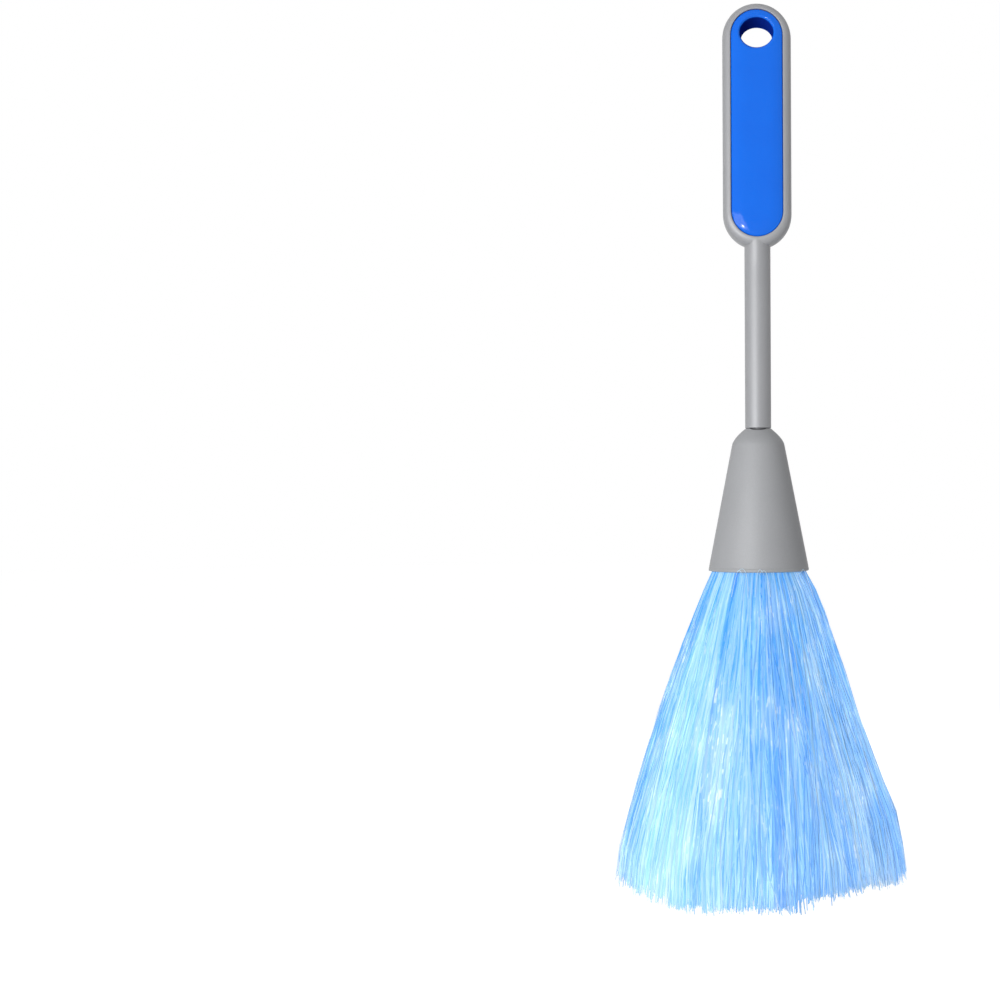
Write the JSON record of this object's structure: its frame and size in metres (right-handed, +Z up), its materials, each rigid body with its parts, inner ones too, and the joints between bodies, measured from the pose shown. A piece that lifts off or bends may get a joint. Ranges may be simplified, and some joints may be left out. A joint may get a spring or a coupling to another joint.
{
  "type": "synthetic feather duster",
  "caption": "Hand duster with a flat ring grip, hang hole, round shaft, conical collar and a flared fan of blue synthetic fibre.",
  "frame": {"origin": "centre of the hang hole in the grip, half-way through its thickness", "axes": "+Z up along the duster towards the grip's end, as it hangs; the front face looks along -Y"},
  "size_m": [0.1645, 0.164, 0.4934],
  "materials": {
    "silver_grey_plastic": "satin moulded",
    "blue_gloss_plastic": "gloss moulded",
    "core_plastic": "plain moulded",
    "zinc_plated_steel": "zinc plated",
    "pale_blue_fibre": "drawn polypropylene fibre"
  },
  "bodies": {
    "root": {"handle_frame": "silver_grey_plastic", "front_grip_panel": "blue_gloss_plastic", "rear_grip_panel": "blue_gloss_plastic", "collar": "silver_grey_plastic", "head_core": "core_plastic", "core_screw": "zinc_plated_steel", "inner_fibre_layer": "pale_blue_fibre", "middle_fibre_layer": "pale_blue_fibre", "outer_fibre_layer": "pale_blue_fibre", "binding_wire": "zinc_plated_steel"}
  },
  "joints": []
}
